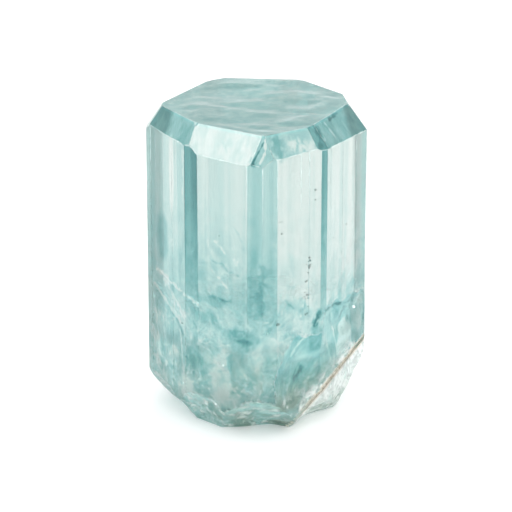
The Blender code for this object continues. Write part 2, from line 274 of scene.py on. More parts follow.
# Small dark inclusions just under the faces, and bright specks, painted glints that glow: where, and how large.
INCLUSIONS = (
    ((8.4, -10.85, 37.4), 0.14),
    ((8.4, -10.84, 35.9), 0.10),
    ((7.6, -11.34, 27.3), 0.15),
    ((3.6, -13.83, 31.9), 0.12),
    ((13.0, -4.53, 29.8), 0.12),
    ((11.1, -7.74, 28.9), 0.10),
    ((3.1, -14.16, 18.2), 0.20),
    ((-10.7, -7.5, 15.6), 0.16),
    ((-5.2, -12.3, 31.0), 0.09),
    ((6.0, 12.4, 30.5), 0.13),
    ((-3.2, 13.7, 27.0), 0.12),
    ((15.2, 1.5, 33.0), 0.12),
)
SPECKS = (
    ((-8.4, -10.2, 19.9), 0.22),
    ((1.6, -14.6, 17.0), 0.24),
    ((-4.7, -12.5, 11.1), 0.17),
    ((14.5, -1.9, 15.8), 0.20),
    ((-5.8, -11.9, 4.8), 0.15),
    ((-9.0, -9.6, 27.6), 0.12),
    ((-10.6, -7.6, 6.2), 0.18),
    ((5.0, 13.2, 18.0), 0.20),
    ((-11.5, 6.8, 15.0), 0.18),
)
INCLUSION_SINK = 0.20
SPECK_SINK = 0.05

# The trail of bubbles down one face: its ends, how many, how large, how far they stray.
TRAIL = (Vector((7.5, -11.4, 27.0)), Vector((7.1, -11.65, 18.6)))
TRAIL_BUBBLES = 22
TRAIL_SIZES = (0.08, 0.18)
TRAIL_STRAY = 0.36


def level(direction):
    """The level unit vector in a compass direction."""
    return Vector((math.cos(math.radians(direction)), math.sin(math.radians(direction)), 0))


def facing(direction, rise):
    """The unit vector in a compass direction, raised above level."""
    return level(direction) * math.cos(math.radians(rise)) + Vector((0, 0, math.sin(math.radians(rise))))


def corner(face, following):
    """Where two faces of a ring meet, in plan."""
    a, b = level(face[0]), level(following[0])
    across = a.x * b.y - a.y * b.x
    x = (face[1] * b.y - following[1] * a.y) / across
    y = (following[1] * a.x - face[1] * b.x) / across
    return Vector((x, y, 0))


# ---------------------------------------------------------------------------------------------- settings


class CrystalShape(bpy.types.PropertyGroup):
    """Fine relief of the crystal's faces and breaks."""

    flat_width: FloatProperty(
        name="Striation width",
        description="Mean width of the flats between the lengthwise striae",
        default=0.00130,
        unit="LENGTH",
    )
    step_depth: FloatProperty(
        name="Striation depth",
        description="How far a flat may be set back from its face",
        default=0.00003,
        unit="LENGTH",
    )
    relief_height: FloatProperty(
        name="Terrace height",
        description="Height of the low growth terraces on the flat end face",
        default=0.00009,
        unit="LENGTH",
    )
    relief_grid: FloatProperty(
        name="Terrace grid",
        description="Spacing of the mesh on the flat end face",
        default=0.00040,
        unit="LENGTH",
    )
    scar_ring: FloatProperty(
        name="Break ring spacing",
        description="Spacing of the mesh rings on the shell-like breaks",
        default=0.00045,
        unit="LENGTH",
    )
    scar_spokes: IntProperty(
        name="Break spokes",
        description="Spokes of mesh round the point that each break started from",
        default=90,
        min=24,
    )
    sharp_angle: FloatProperty(
        name="Sharp angle",
        description="Edges that turn more than this stay sharp",
        default=math.radians(16),
        subtype="ANGLE",
    )


class BerylFinish(bpy.types.PropertyGroup):
    """Colour, clarity and polish of the beryl."""

    absorption_color: FloatVectorProperty(
        name="Absorption colour",
        description="Colour that light keeps on its way through the crystal",
        default=(0.0, 0.50, 0.44),
        subtype="COLOR",
        size=3,
    )
    absorption_density: FloatProperty(
        name="Absorption density",
        description="How strongly the crystal absorbs light, per metre",
        default=8.0,
        min=0.0,
    )
    ior: FloatProperty(
        name="Refractive index",
        description="Refractive index of beryl",
        default=1.577,
        min=1.0,
    )
    clarity: FloatProperty(
        name="Clarity",
        description="Share of light that goes through the surface",
        default=0.75,
        min=0.0,
        max=1.0,
        subtype="FACTOR",
    )


class StudioSetup(bpy.types.PropertyGroup):
    """The camera."""

    distance: FloatProperty(
        name="Camera distance",
        description="From the camera to the middle of the crystal",
        default=0.430,
        unit="LENGTH",
    )
    elevation: FloatProperty(
        name="Camera elevation",
        description="How far above level the camera looks from",
        default=math.radians(22),
        subtype="ANGLE",
    )
    aim_height: FloatProperty(
        name="Aim height",
        description="Height above the floor that the camera aims at",
        default=0.023,
        unit="LENGTH",
    )
    focal_pixels: FloatProperty(
        name="Focal length in pixels",
        description="Focal length as a number of the picture's pixels",
        default=2956.0,
    )
    picture_pixels: FloatProperty(
        name="Picture width",
        description="Width of the picture in pixels",
        default=512.0,
    )


# ---------------------------------------------------------------------------------------------- geometry


def striated_side(start, end, normal, shape, dice):
    """Plan points of one prism face, from start up to end: uneven flats, each set back a little."""
    length = (end - start).length
    flats = max(1, round(length * MM / shape.flat_width))
    widths = [dice.uniform(0.4, 1.8) for _ in range(flats)]
    riser = 0.04 / length / 2
    points, run = [start], 0.0
    for width in widths[:-1]:
        depth = dice.uniform(0.0, 1.0) ** 2 * shape.step_depth / MM
        points.append(start.lerp(end, run + riser) - normal * depth)
        run += width / sum(widths)
        points.append(start.lerp(end, run - riser) - normal * depth)
    return points


def prism_outline(shape):
    """The plan of the prism, as a closed loop of points."""
    dice = random.Random(11)
    outline = []
    for before, face, after in zip(PRISM_FACES[-1:] + PRISM_FACES, PRISM_FACES, PRISM_FACES[1:] + PRISM_FACES):
        start, end = corner(before, face), corner(face, after)
        outline += striated_side(start, end, level(face[0]), shape, dice)
    return outline


def cut_away(bm, point, normal):
    """Cuts off all that lies beyond a plane, and closes the cut with a flat face."""
    parts = bm.verts[:] + bm.edges[:] + bm.faces[:]
    cut = bmesh.ops.bisect_plane(bm, geom=parts, plane_co=point * MM, plane_no=normal, clear_outer=True)
    rim = [part for part in cut["geom_cut"] if isinstance(part, bmesh.types.BMEdge)]
    bmesh.ops.edgeloop_fill(bm, edges=rim)


def bevelled_prism(shape):
    """The prism with its bevelled end, every face of the end still flat."""
    bm = bmesh.new()
    foot = bm.faces.new([bm.verts.new(point * MM) for point in prism_outline(shape)])
    grown = bmesh.ops.extrude_face_region(bm, geom=[foot])["geom"]
    end = [part for part in grown if isinstance(part, bmesh.types.BMVert)]
    bmesh.ops.translate(bm, vec=(0, 0, HEIGHT * MM), verts=end)
    for direction, distance, tilt, _ in BEVEL_FACES:
        cut_away(bm, level(direction) * distance + Vector((0, 0, HEIGHT)), facing(direction, 90 - tilt))
    bmesh.ops.recalc_face_normals(bm, faces=bm.faces[:])
    return bm


def terrace_height(place, height):
    """How far the end face stands above or below its level: low swells in terraces, fading to the rim."""
    swell = noise.fractal(Vector((place.x * 0.14, place.y * 0.26, 3.7)), 1.0, 2.0, 2)
    fine = noise.fractal(Vector((place.x * 0.50, place.y * 1.0, 9.1)), 1.0, 2.0, 3)
    terraces = math.tanh(6.0 * (swell - 0.10)) + 0.7 * math.tanh(6.0 * (swell + 0.22)) + 0.45 * fine
    room = min(distance - place.dot(level(direction)) for direction, distance, *_ in BEVEL_FACES)
    return height * terraces * min(1.0, room / 2.5)


def carve_end_face(bm, shape):
    """Gives the end face a plain border and, inside it, a grid raised into terraces."""
    end = max(bm.faces, key=lambda face: face.calc_center_median().z)
    bmesh.ops.inset_region(bm, faces=[end], thickness=0.30 * MM, use_even_offset=True)
    faces = [end]
    reach = math.ceil(max(vert.co.xy.length for vert in end.verts) / shape.relief_grid)
    for axis in (Vector((1, 0, 0)), Vector((0, 1, 0))):
        for line in range(-reach, reach + 1):
            parts = {part for face in faces for part in (*face.verts, *face.edges, face)}
            where = axis * line * shape.relief_grid
            cut = bmesh.ops.bisect_plane(bm, geom=list(parts), plane_co=where, plane_no=axis)
            faces = [part for part in cut["geom"] if isinstance(part, bmesh.types.BMFace)]
    carved = set(faces)
    for vert in {vert for face in faces for vert in face.verts}:
        if carved.issuperset(vert.link_faces):
            vert.co.z += terrace_height(vert.co / MM, shape.relief_height / MM) * MM


def new_object(name, bm, collection):
    """Turns a bmesh, modelled about the prism's axis, into an object in a collection."""
    mesh = bpy.data.meshes.new(name)
    bm.to_mesh(mesh)
    bm.free()
    made = bpy.data.objects.new(name, mesh)
    collection.objects.link(made)
    return made


def fracture_block(face_point, way, radii, blow, shape):
    """A block whose inner side is a conchoidal bowl, in rings and spokes about the blow."""
    out = facing(*way)
    across = Vector((0, 0, 1)).cross(out).normalized()
    along = out.cross(across)
    face_point = Vector(face_point)
    blow = Vector(blow) - face_point
    centre = Vector((blow.dot(across), blow.dot(along)))
    spacing = shape.scar_ring / MM

    def surface(ring, spoke):
        reach = ring * spacing
        turn = 2 * math.pi * spoke / shape.scar_spokes
        u = centre.x + reach * math.cos(turn)
        v = centre.y + reach * math.sin(turn)
        place = face_point + across * u + along * v
        bowl = u * u / (2 * radii[0]) + v * v / (2 * radii[1])
        ripple = RIPPLE_HEIGHT * math.cos(2 * math.pi * reach / RIPPLE_LENGTH) * math.exp(-reach / RIPPLE_FADE)
        lump = LUMP_HEIGHT * noise.noise(place / LUMP_SIZE)
        fine = 0.10 * noise.fractal(place / 1.1, 1.0, 2.0, 3)
        return (place + out * (bowl + ripple + lump + fine)) * MM

    bm = bmesh.new()
    middle = bm.verts.new(surface(0, 0))
    rings = range(1, round(SCAR_REACH / spacing) + 1)
    web = [[bm.verts.new(surface(ring, spoke)) for spoke in range(shape.scar_spokes)] for ring in rings]
    for spoke in range(shape.scar_spokes):
        bm.faces.new((middle, web[0][spoke - 1], web[0][spoke]))
        for inner, outer in zip(web, web[1:]):
            bm.faces.new((inner[spoke - 1], outer[spoke - 1], outer[spoke], inner[spoke]))
    rim = [edge for edge in bm.edges if edge.is_boundary]
    walls = bmesh.ops.extrude_edge_only(bm, edges=rim)["geom"]
    lifted = [part for part in walls if isinstance(part, bmesh.types.BMVert)]
    bmesh.ops.translate(bm, vec=out * SCAR_BLOCK * MM, verts=lifted)
    bmesh.ops.edgeloop_fill(bm, edges=[part for part in walls if isinstance(part, bmesh.types.BMEdge)])
    bmesh.ops.recalc_face_normals(bm, faces=bm.faces[:])
    return bm


def crack_ways():
    """The way out of the crack, in its plane, and the way along its mouth."""
    out = (level(CRACK_OPENING) - CRACK_NORMAL * level(CRACK_OPENING).dot(CRACK_NORMAL)).normalized()
    return out, CRACK_NORMAL.cross(out)


def crack_slab():
    """A thin slab along the crack, from a little behind its mouth to well outside the crystal."""
    out, side = crack_ways()
    bm = bmesh.new()
    bmesh.ops.create_cube(bm, size=2.0)
    for vert in bm.verts:
        depth = CRACK_CLEARANCE if vert.co.x > 0 else -CRACK_DEPTH
        run, half = vert.co.y * CRACK_LENGTH / 2, vert.co.z * CRACK_WIDTH / 2
        vert.co = (CRACK_MOUTH + out * depth + side * run + CRACK_NORMAL * half) * MM
    return bm


def bruise_ball(ring, number, height, bite):
    """A ball outside the crystal that takes a shallow bite out of one edge."""
    edge = corner(ring[number], ring[(number + 1) % len(ring)])
    rise = END_BRUISE_RISE if ring is BEVEL_FACES else 0
    out = facing(math.degrees(math.atan2(edge.y, edge.x)), rise)
    centre = edge + Vector((0, 0, height)) + out * (BRUISE_RADIUS - bite)
    bm = bmesh.new()
    bmesh.ops.create_icosphere(bm, subdivisions=4, radius=BRUISE_RADIUS * MM)
    bmesh.ops.translate(bm, vec=centre * MM, verts=bm.verts[:])
    return bm


def broken_mesh(blank, shape):
    """Cuts every fracture, the crack and the bruises out of the blank, and returns the mesh that is left."""
    breaks = bpy.data.collections.new("breaks")
    shapes = {name: fracture_block(*facts, shape) for name, facts in FRACTURES.items()}
    shapes["crack"] = crack_slab()
    for number, facts in enumerate(BRUISES, start=1):
        shapes[f"bruise_{number}"] = bruise_ball(*facts)
    helpers = [new_object(name, made, breaks) for name, made in shapes.items()]
    cut = blank.modifiers.new("breaks", "BOOLEAN")
    cut.operation = "DIFFERENCE"
    cut.operand_type = "COLLECTION"
    cut.collection = breaks
    bpy.context.view_layer.update()
    mesh = bpy.data.meshes.new_from_object(blank.evaluated_get(bpy.context.evaluated_depsgraph_get()))
    for helper in helpers:
        bpy.data.objects.remove(helper)
    bpy.data.collections.remove(breaks)
    bpy.data.objects.remove(blank)
    return mesh


# The regions that the face attributes tell apart.
NATURAL, BROKEN, FLAKED, CRACKED = 0.0, 1.0, 2.0, 3.0
FACE_MARKS = ("region", "tone_and_shade_near_end", "tone_and_shade_lower")

# The frosting on the breaks: how far it stands off them, and how wide it is along their borders.
FROST_LIFT = 0.012
BREAK_BORDER = (0.10, 0.75)
# How wide the painted highlights along the natural edges may be.
FACET_BORDER = (0.05, 0.24)
FILLING_STEPS = 110
FILLING_SET_BACK = 0.06


def owner(normal):
    """The row of the face tables that a natural face belongs to. The end face has none."""
    if normal.z > 0.9:
        return None
    ring = BEVEL_FACES if normal.z > 0.2 else PRISM_FACES
    return max(ring, key=lambda face: level(face[0]).dot(normal))


def face_tone_and_shade(normal):
    """How deep a natural face's colour looks, near the end and lower down: its own colour, with painted shade and
    painted reflection.
    """
    face = owner(normal)
    if face is None:
        return END_TONE_AND_SHADE, END_TONE_AND_SHADE
    return (face[3], face[3]) if face in BEVEL_FACES else face[2:]


def is_natural(normal, centre):
    """True on the prism, the bevels and the end face, which the breaks left as they grew."""
    if centre.z > HEIGHT - 6.0:
        return True
    if abs(normal.z) > 0.003:
        return False
    return any(abs(level(face[0]).dot(centre) - face[1]) < 0.12 for face in PRISM_FACES)


def mark_faces(mesh):
    """Writes each face's region and its two depths of colour, with their painted shade and reflection, as attributes.
    """
    region, near_end, lower = (mesh.attributes.new(name, "FLOAT", "FACE").data for name in FACE_MARKS)
    for face in mesh.polygons:
        centre, normal = face.center / MM, face.normal
        below = (centre - CRACK_MOUTH).dot(CRACK_NORMAL)
        if is_natural(normal, centre):
            region[face.index].value = NATURAL
            near_end[face.index].value, lower[face.index].value = face_tone_and_shade(normal)
        elif abs(below) < CRACK_WIDTH * 0.6 and level(CRACK_OPENING).dot(centre) > 6:
            region[face.index].value = CRACKED
        elif below > 0 and centre.x > 3:
            region[face.index].value = FLAKED
        else:
            region[face.index].value = BROKEN


def broken_skin(mesh):
    """A thin skin over the breaks, just off their surface, for the frosting on them."""
    bm = bmesh.new()
    bm.from_mesh(mesh)
    region = bm.faces.layers.float[FACE_MARKS[0]]
    spare = [face for face in bm.faces if face[region] in (NATURAL, CRACKED) or face.calc_center_median().z < 0.05 * MM]
    bmesh.ops.delete(bm, geom=spare, context="FACES")
    for vert in bm.verts:
        vert.co += vert.normal * FROST_LIFT * MM
        vert.co.z = max(vert.co.z, 0.0)
    return bm


def ribbons(mesh, wanted, widths, waves):
    """Ragged ribbons on the natural faces beside some edges of a mesh. They fade away from the edge."""
    source = bmesh.new()
    source.from_mesh(mesh)
    bm = bmesh.new()
    fade = bm.verts.layers.float.new("fade")
    sides = {}
    for edge in source.edges:
        for face in wanted(source, edge):
            into = face.normal.cross(edge.verts[1].co - edge.verts[0].co).normalized()
            if into.dot(face.calc_center_median() - edge.verts[0].co) < 0:
                into = -into
            sides.setdefault(side_name(face.normal), []).append((edge, into, face.normal))
    for strip in sides.values():
        rows, inward = {}, {}
        for edge, into, _ in strip:
            for vert in edge.verts:
                inward[vert] = inward.get(vert, Vector()) + into
        out = strip[0][2]
        for vert, into in inward.items():
            root = vert.co + out * FROST_LIFT * MM
            ragged = 0.5 + 0.7 * noise.fractal(vert.co / MM * waves, 1.0, 2.0, 3)
            width = widths[0] + (widths[1] - widths[0]) * min(1.0, max(0.0, ragged)) ** 2
            rows[vert] = bm.verts.new(root), bm.verts.new(root + into.normalized() * width * MM)
            rows[vert][0][fade], rows[vert][1][fade] = 1.0, 0.0
        for edge, _, _ in strip:
            (a, b), (c, d) = rows[edge.verts[0]], rows[edge.verts[1]]
            bm.faces.new((a, c, d, b))
    source.free()
    return bm


def side_name(normal):
    """A name shared by the mesh faces that lie in one natural face."""
    return owner(normal), tuple(round(part, 2) for part in normal)


def beside_breaks(source, edge):
    """The natural face beside an edge that borders a break."""
    region = source.faces.layers.float[FACE_MARKS[0]]
    natural = [face for face in edge.link_faces if face[region] == NATURAL]
    return natural if len(natural) == 1 and len(edge.link_faces) == 2 else []


def beside_corners(source, edge):
    """The two natural faces beside an edge where one natural face meets another."""
    region = source.faces.layers.float[FACE_MARKS[0]]
    faces = edge.link_faces
    if len(faces) != 2 or any(face[region] != NATURAL for face in faces):
        return []
    owners = {owner(face.normal) for face in faces}
    return list(faces) if len(owners) == 2 and edge.calc_length() > 0.1 * MM else []


def crack_filling(crystal):
    """The rough strip of iron stain that fills the crack to just behind its mouth."""
    solid = bmesh.new()
    solid.from_mesh(crystal)
    tree = BVHTree.FromBMesh(solid)
    solid.free()
    out, side = crack_ways()
    bm = bmesh.new()
    half = CRACK_WIDTH / 2 - 0.01
    last = None
    for step in range(FILLING_STEPS + 1):
        run = CRACK_LENGTH * (step / FILLING_STEPS - 0.5)
        reach = []
        for lip in (-1, 1):
            start = CRACK_MOUTH + side * run + CRACK_NORMAL * lip * (half + 0.12) + out * CRACK_CLEARANCE
            hit = tree.ray_cast(start * MM, -out)
            if hit[0] is not None and hit[3] / MM < CRACK_CLEARANCE + CRACK_DEPTH - 0.8:
                reach.append(CRACK_CLEARANCE - hit[3] / MM)
        row = None
        if len(reach) == 2:
            rough = 0.10 * noise.fractal(Vector((run * 1.4, 0, 5)), 1.0, 2.0, 3)
            front = min(reach) - FILLING_SET_BACK + rough
            row = []
            for lip, back in ((-1, 0), (1, 0), (1, 0.7), (-1, 0.7)):
                place = CRACK_MOUTH + side * run + CRACK_NORMAL * lip * half + out * (front - back)
                row.append(bm.verts.new(place * MM))
        if row and last:
            for number in range(4):
                bm.faces.new((last[number], last[(number + 1) % 4], row[(number + 1) % 4], row[number]))
        last = row
    bmesh.ops.recalc_face_normals(bm, faces=bm.faces[:])
    return bm


def sheet(bm, counts, point, opacity):
    """A grid of quads. A point and an opacity are given for each of its corners, by shares of its sides."""
    fade = bm.verts.layers.float["fade"]
    rows, cells = counts
    grid = []
    for row in range(rows + 1):
        line = []
        for cell in range(cells + 1):
            vert = bm.verts.new(point(row / rows, cell / cells) * MM)
            vert[fade] = opacity(row / rows, cell / cells)
            line.append(vert)
        grid.append(line)
    for line, following in zip(grid, grid[1:]):
        for number in range(cells):
            bm.faces.new((line[number], line[number + 1], following[number + 1], following[number]))


def veil_sheet(bm, start, end, inward, opacity, seed):
    """A thin, slightly crumpled sheet from a line under a face into the crystal."""
    start, end, inward = Vector(start), Vector(end), Vector(inward)
    away = (end - start).cross(inward).normalized()

    def point(run, deep):
        crumple = noise.fractal(Vector((run * 7, deep * 2.5, seed)), 1.0, 2.0, 3)
        return start.lerp(end, run) + inward * (0.10 + 0.90 * deep) + away * crumple * VEIL_CRUMPLE

    sheet(bm, VEIL_CELLS, point, lambda run, deep: opacity * min(1.0, 6 * run, 6 * (1 - run)) * (1 - deep) ** 0.7)


def cloud_sheet(bm, dice, seed):
    """A curved, feathery sheet inside the foot."""
    turn, reach = dice.uniform(0, 360), CLOUD_REACH * math.sqrt(dice.random())
    centre = level(turn) * reach + Vector((0, 0, dice.uniform(*CLOUD_HEIGHTS)))
    size = dice.uniform(*CLOUD_SIZES)
    out = facing(dice.uniform(0, 360), dice.uniform(-50, 50))
    across = Vector((0, 0, 1)).cross(out).normalized()
    along = out.cross(across)
    bend = dice.uniform(0.03, 0.07)

    def point(row, cell):
        u, v = (2 * cell - 1) * size, (2 * row - 1) * size
        crumple = noise.fractal(Vector((u / 3, v / 3, seed)), 1.0, 2.0, 4) * CLOUD_CRUMPLE
        return centre + across * u + along * v + out * (bend * (u * u + v * v) + crumple)

    def opacity(row, cell):
        return CLOUD_OPACITY * max(0.0, 1 - (2 * cell - 1) ** 2 - (2 * row - 1) ** 2)

    sheet(bm, CLOUD_CELLS, point, opacity)


def keep_inside(bm, crystal, margin):
    """Fades a sheet out toward the crystal's surface, and deletes what would stand outside it."""
    solid = bmesh.new()
    solid.from_mesh(crystal)
    tree = BVHTree.FromBMesh(solid)
    solid.free()
    fade = bm.verts.layers.float["fade"]
    for vert in bm.verts:
        near, normal, _, _ = tree.find_nearest(vert.co)
        depth = (near - vert.co).dot(normal) / MM
        vert[fade] *= min(1.0, max(0.0, depth / margin))
    outside = [face for face in bm.faces if all(vert[fade] <= 0.0 for vert in face.verts)]
    bmesh.ops.delete(bm, geom=outside, context="FACES")
    stray = [vert for vert in bm.verts if vert[fade] <= 0.0]
    for vert in stray:
        near, normal, _, _ = tree.find_nearest(vert.co)
        vert.co = near - normal * 0.03 * MM


def lump(bm, place, size, seed):
    """One small irregular lump."""
    made = bmesh.ops.create_icosphere(bm, subdivisions=2, radius=size)["verts"]
    for vert in made:
        vert.co *= 1 + 0.45 * noise.noise(vert.co / size * 0.9 + Vector((seed, seed, 0)))
        vert.co = (vert.co + place) * MM


def sunk(place, depth):
    """A place on a side face, moved toward the axis."""
    place = Vector(place)
    return place - Vector((place.x, place.y, 0)).normalized() * depth


def keep_in_box(mesh):
    """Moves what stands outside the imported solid's box onto its sides."""
    low, high = (Vector(point) - AXIS * MM for point in PACKED_BOX)
    for vert in mesh.vertices:
        vert.co = [min(max(part, least), most) for part, least, most in zip(vert.co, low, high)]


def ride(piece):
    """Makes a piece part of the object: it rides on the body."""
    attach(piece, BODY)


# ---------------------------------------------------------------------------------------------- materials


def add(tree, kind, inputs=None, **settings):
    """Adds a shader node. Each of its inputs is a constant or another node's output."""
    made = tree.nodes.new(kind)
    for name, value in settings.items():
        setattr(made, name, value)
    for key, value in (inputs or {}).items():
        if isinstance(value, bpy.types.NodeSocket):
            tree.links.new(value, made.inputs[key])
        else:
            made.inputs[key].default_value = value
    return made


def calculate(tree, operation, first, second=0.0, third=0.0, clamp=False):
    """The output of a Math node."""
    inputs = {0: first, 1: second, 2: third}
    return add(tree, "ShaderNodeMath", inputs, operation=operation, use_clamp=clamp).outputs[0]


def vector(tree, operation, first, second):
    """The output of a Vector Math node with two vectors."""
    return add(tree, "ShaderNodeVectorMath", {0: first, 1: second}, operation=operation).outputs[0]


def size_of(tree, given):
    """The length of a vector."""
    return add(tree, "ShaderNodeVectorMath", {0: given}, operation="LENGTH").outputs["Value"]


def blend_values(tree, factor, first, second):
    """A value between two, by a factor."""
    return add(tree, "ShaderNodeMix", {0: factor, 2: first, 3: second}).outputs[0]


def blend_colors(tree, factor, first, second):
    """A colour between two, by a factor."""
    return add(tree, "ShaderNodeMix", {0: factor, 6: first, 7: second}, data_type="RGBA").outputs[2]


def ramp(tree, value, low, high, out_low=0.0, out_high=1.0):
    """A value carried smoothly from one range to another, and held at its ends."""
    inputs = {0: value, 1: low, 2: high, 3: out_low, 4: out_high}
    return add(tree, "ShaderNodeMapRange", inputs, interpolation_type="SMOOTHSTEP").outputs[0]


def stretched_noise(tree, place, scale, detail=3.0, roughness=0.5, distortion=0.0):
    """Noise in a place vector that is scaled by a vector first."""
    scaled = add(tree, "ShaderNodeVectorMath", {0: place, 1: scale}, operation="MULTIPLY").outputs[0]
    inputs = {"Vector": scaled, "Scale": 1.0, "Detail": detail, "Roughness": roughness, "Distortion": distortion}
    return add(tree, "ShaderNodeTexNoise", inputs).outputs["Fac"]


def new_group(name, inputs, outputs):
    """A shader node group with its named sockets, its tree, and its input and output nodes."""
    tree = bpy.data.node_groups.new(name, "ShaderNodeTree")
    for socket, (kind, value) in inputs.items():
        made = tree.interface.new_socket(socket, in_out="INPUT", socket_type=f"NodeSocket{kind}")
        if value is not None:
            made.default_value = value
    for socket, kind in outputs.items():
        tree.interface.new_socket(socket, in_out="OUTPUT", socket_type=f"NodeSocket{kind}")
    return tree, tree.nodes.new("NodeGroupInput").outputs, tree.nodes.new("NodeGroupOutput").inputs


def use_group(tree, group, **inputs):
    """Places a node group in a tree, with its own values."""
    placed = add(tree, "ShaderNodeGroup", node_tree=group)
    for name, value in inputs.items():
        socket = placed.inputs[name.replace("_", " ")]
        if isinstance(value, bpy.types.NodeSocket):
            tree.links.new(value, socket)
        else:
            socket.default_value = value
    return placed.outputs


def striae_group():
    """Lengthwise striae: pale and dark streaks, and their height."""
    inputs = {"Place": ("Vector", None), "Broad": ("Float", 0.8), "Fine": ("Float", 5.0)}
    tree, given, out = new_group("striae", inputs, {"Streak": "Float", "Height": "Float"})

    def streaks(frequency, detail, drift):
        scale = add(tree, "ShaderNodeCombineXYZ", {0: frequency, 1: frequency, 2: drift}).outputs[0]
        return stretched_noise(tree, given["Place"], scale, detail, 0.6)

    broad = ramp(tree, streaks(given["Broad"], 1.0, 0.012), 0.35, 0.65)
    fine = streaks(given["Fine"], 3.0, 0.03)
    mixed = calculate(tree, "MULTIPLY_ADD", broad, 0.6, calculate(tree, "MULTIPLY", fine, 0.4))
    tree.links.new(mixed, out["Streak"])
    tree.links.new(fine, out["Height"])
    return tree


def cloud_group():
    """Cloudiness that fills the foot: a mask that thins upward, and mottling inside it."""
    inputs = {
        "Place": ("Vector", None),
        "Full Below": ("Float", 16.0),
        "Clear Above": ("Float", 23.5),
        "Raggedness": ("Float", 12.0),
        "Size": ("Float", 0.22),
    }
    tree, given, out = new_group("cloud", inputs, {"Mask": "Float", "Mottle": "Float"})
    scale = add(tree, "ShaderNodeCombineXYZ", {0: given["Size"], 1: given["Size"], 2: given["Size"]}).outputs[0]
    swirl = stretched_noise(tree, given["Place"], scale, 4.0, 0.6, 0.8)
    height = add(tree, "ShaderNodeSeparateXYZ", {0: given["Place"]}).outputs["Z"]
    ragged = calculate(tree, "MULTIPLY", calculate(tree, "SUBTRACT", swirl, 0.5), given["Raggedness"])
    level_here = calculate(tree, "ADD", height, ragged)
    mask = ramp(tree, level_here, given["Full Below"], given["Clear Above"], 1.0, 0.0)
    tree.links.new(mask, out["Mask"])
    tree.links.new(ramp(tree, swirl, 0.32, 0.68), out["Mottle"])
    return tree


def hackle_group():
    """Streaks on a break, which fan out from the point that the break started at."""
    inputs = {"Place": ("Vector", None), "Origin": ("Vector", (0, 0, 0)), "Fineness": ("Float", 6.0)}
    tree, given, out = new_group("hackle", inputs, {"Streak": "Float"})
    offset = add(tree, "ShaderNodeVectorMath", {0: given["Place"], 1: given["Origin"]}, operation="SUBTRACT").outputs[0]
    distance = add(tree, "ShaderNodeVectorMath", {0: offset}, operation="LENGTH").outputs["Value"]
    way = add(tree, "ShaderNodeVectorMath", {0: offset}, operation="NORMALIZE").outputs[0]
    way = add(tree, "ShaderNodeVectorMath", {0: way, "Scale": given["Fineness"]}, operation="SCALE").outputs[0]
    drift = calculate(tree, "MULTIPLY", distance, 0.16)
    place = add(tree, "ShaderNodeVectorMath", {0: way, 1: drift}, operation="ADD").outputs[0]
    tree.links.new(stretched_noise(tree, place, (1, 1, 1), 4.0, 0.6, 0.4), out["Streak"])
    return tree


def crackle_group():
    """Thin, wandering lines, as of healed cracks."""
    inputs = {"Place": ("Vector", None), "Size": ("Float", 0.25), "Width": ("Float", 0.05)}
    tree, given, out = new_group("crackle", inputs, {"Lines": "Float"})
    wander = add(tree, "ShaderNodeTexNoise", {"Vector": given["Place"], "Scale": 0.35, "Detail": 4.0}).outputs["Color"]
    wander = add(tree, "ShaderNodeVectorMath", {0: wander, "Scale": 3.5}, operation="SCALE").outputs[0]
    place = add(tree, "ShaderNodeVectorMath", {0: given["Place"], 1: wander}, operation="ADD").outputs[0]
    cells = add(tree, "ShaderNodeTexVoronoi", {"Vector": place, "Scale": given["Size"]}, feature="DISTANCE_TO_EDGE")
    gaps = stretched_noise(tree, given["Place"], (0.5, 0.5, 0.5), 2.0, 0.5)
    lines = ramp(tree, cells.outputs["Distance"], 0.0, given["Width"], 1.0, 0.0)
    tree.links.new(calculate(tree, "MULTIPLY", lines, ramp(tree, gaps, 0.40, 0.60)), out["Lines"])
    return tree


def patch_group():
    """A soft-edged ellipsoid: 1 inside, 0 outside, with a ragged rim."""
    inputs = {
        "Place": ("Vector", None),
        "Swirl": ("Float", 0.0),
        "Centre": ("Vector", (0, 0, 0)),
        "Reach": ("Vector", (1, 1, 1)),
        "Raggedness": ("Float", 0.8),
    }
    tree, given, out = new_group("patch", inputs, {"Mask": "Float"})
    offset = vector(tree, "SUBTRACT", given["Place"], given["Centre"])
    distance = size_of(tree, vector(tree, "DIVIDE", offset, given["Reach"]))
    ragged = calculate(tree, "MULTIPLY_ADD", given["Swirl"], given["Raggedness"], distance)
    tree.links.new(ramp(tree, ragged, 0.6, 1.1, 1.0, 0.0), out["Mask"])
    return tree


